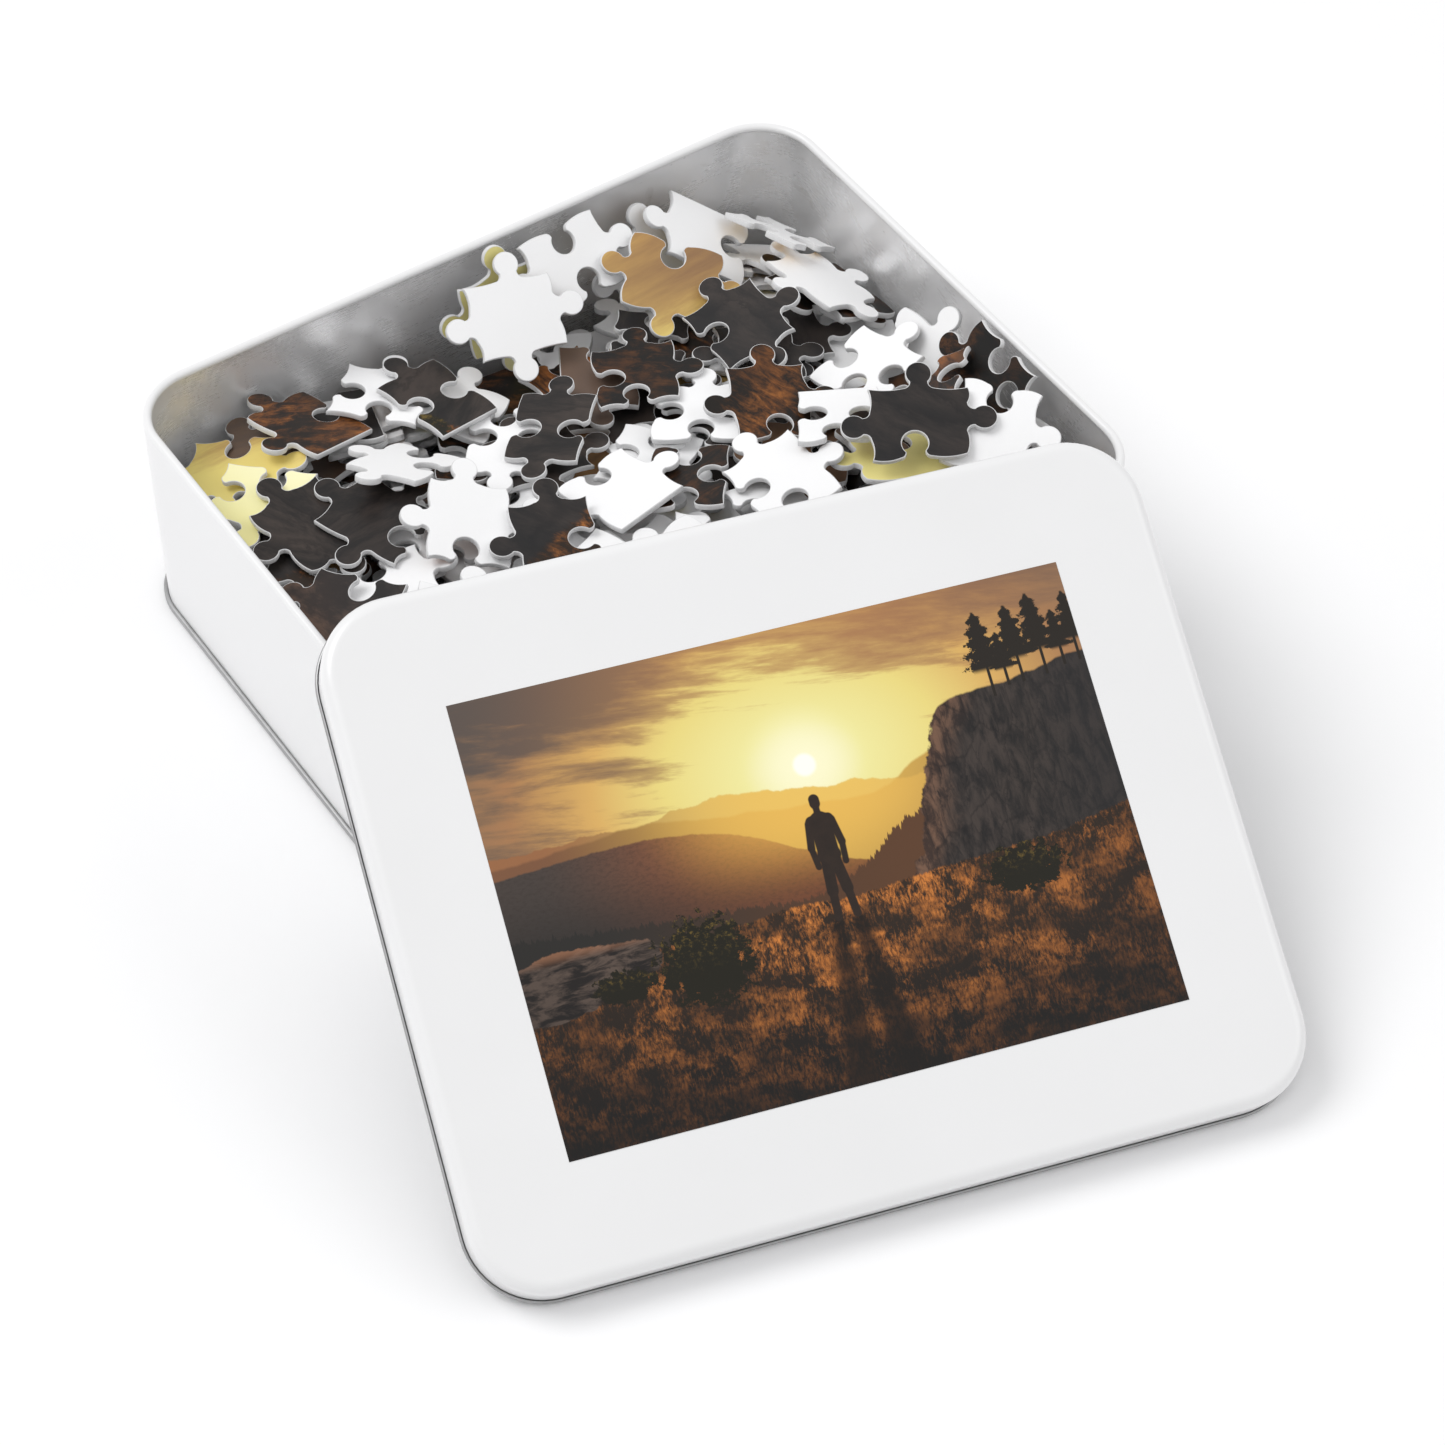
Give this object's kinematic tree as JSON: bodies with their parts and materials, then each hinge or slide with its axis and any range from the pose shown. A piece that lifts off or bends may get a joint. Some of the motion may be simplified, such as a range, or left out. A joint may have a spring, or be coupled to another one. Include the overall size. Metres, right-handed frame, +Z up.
{
  "type": "boxed jigsaw puzzle",
  "caption": "Rounded rectangular tin filled with loose interlocking jigsaw pieces, with its slip lid leaning on the rim, a printed picture on the lid.",
  "frame": {"origin": "middle of the tin's underside, on the surface it stands on", "axes": "+X along the long side of the tin, +Y from the leaning lid to the back of the tin, +Z up"},
  "size_m": [0.2328, 0.2868, 0.0827],
  "materials": {
    "painted_tin": "satin white lacquer on tinplate",
    "bare_tin": "bare tinplate",
    "picture_print": "satin printed panel, sunset landscape",
    "card_back": "white board back",
    "card_land": "glossy print, dark ground",
    "card_sky": "glossy print, golden sky",
    "card_glow": "glossy print, sky by the sun"
  },
  "bodies": {
    "tin": {"heap_layer_1_back": "card_back", "heap_layer_1_land": "card_land", "heap_layer_1_sky": "card_sky", "heap_layer_2_back": "card_back", "heap_layer_2_land": "card_land", "heap_layer_2_sky": "card_sky", "heap_layer_3_back": "card_back", "heap_layer_3_land": "card_land", "heap_layer_3_sky": "card_sky", "heap_layer_4_back": "card_back", "heap_layer_4_land": "card_land", "heap_layer_4_sky": "card_sky", "heap_layer_5_back": "card_back", "heap_layer_5_land": "card_land", "heap_layer_5_sky": "card_sky", "heap_layer_6_back": "card_back", "heap_layer_6_land": "card_land", "heap_layer_6_sky": "card_sky", "heap_layer_7_back": "card_back", "heap_layer_7_land": "card_land", "heap_layer_7_sky": "card_sky", "heap_layer_8_back": "card_back", "heap_layer_8_land": "card_land", "heap_layer_8_sky": "card_sky", "leaning_pieces_back": "card_back", "leaning_pieces_glow": "card_glow", "leaning_pieces_land": "card_land", "tin_bottom": "bare_tin", "tin_wall": "painted_tin", "top_pieces_back": "card_back", "top_pieces_glow": "card_glow", "top_pieces_land": "card_land", "top_pieces_sky": "card_sky"},
    "lid": {"lid_shell": "painted_tin", "lid_label": "picture_print"},
    "loose_piece_01": {"loose_piece_01_land": "card_land"},
    "loose_piece_02": {"loose_piece_02_back": "card_back"},
    "loose_piece_03": {"loose_piece_03_land": "card_land"},
    "loose_piece_04": {"loose_piece_04_land": "card_land"},
    "loose_piece_05": {"loose_piece_05_back": "card_back"},
    "loose_piece_06": {"loose_piece_06_back": "card_back"},
    "loose_piece_07": {"loose_piece_07_land": "card_land"},
    "loose_piece_08": {"loose_piece_08_back": "card_back"}
  },
  "joints": [
    {"name": "lid_lift", "type": "slide", "parent": "tin", "child": "lid", "axis": [0, 0, 1], "range_m": [0, 0.12]},
    {"name": "loose_piece_01_lift", "type": "slide", "parent": "tin", "child": "loose_piece_01", "axis": [0, 0, 1], "range_m": [0, 0.07]},
    {"name": "loose_piece_02_lift", "type": "slide", "parent": "tin", "child": "loose_piece_02", "axis": [0, 0, 1], "range_m": [0, 0.07]},
    {"name": "loose_piece_03_lift", "type": "slide", "parent": "tin", "child": "loose_piece_03", "axis": [0, 0, 1], "range_m": [0, 0.07]},
    {"name": "loose_piece_04_lift", "type": "slide", "parent": "tin", "child": "loose_piece_04", "axis": [0, 0, 1], "range_m": [0, 0.07]},
    {"name": "loose_piece_05_lift", "type": "slide", "parent": "tin", "child": "loose_piece_05", "axis": [0, 0, 1], "range_m": [0, 0.07]},
    {"name": "loose_piece_06_lift", "type": "slide", "parent": "tin", "child": "loose_piece_06", "axis": [0, 0, 1], "range_m": [0, 0.07]},
    {"name": "loose_piece_07_lift", "type": "slide", "parent": "tin", "child": "loose_piece_07", "axis": [0, 0, 1], "range_m": [0, 0.07]},
    {"name": "loose_piece_08_lift", "type": "slide", "parent": "tin", "child": "loose_piece_08", "axis": [0, 0, 1], "range_m": [0, 0.07]}
  ]
}
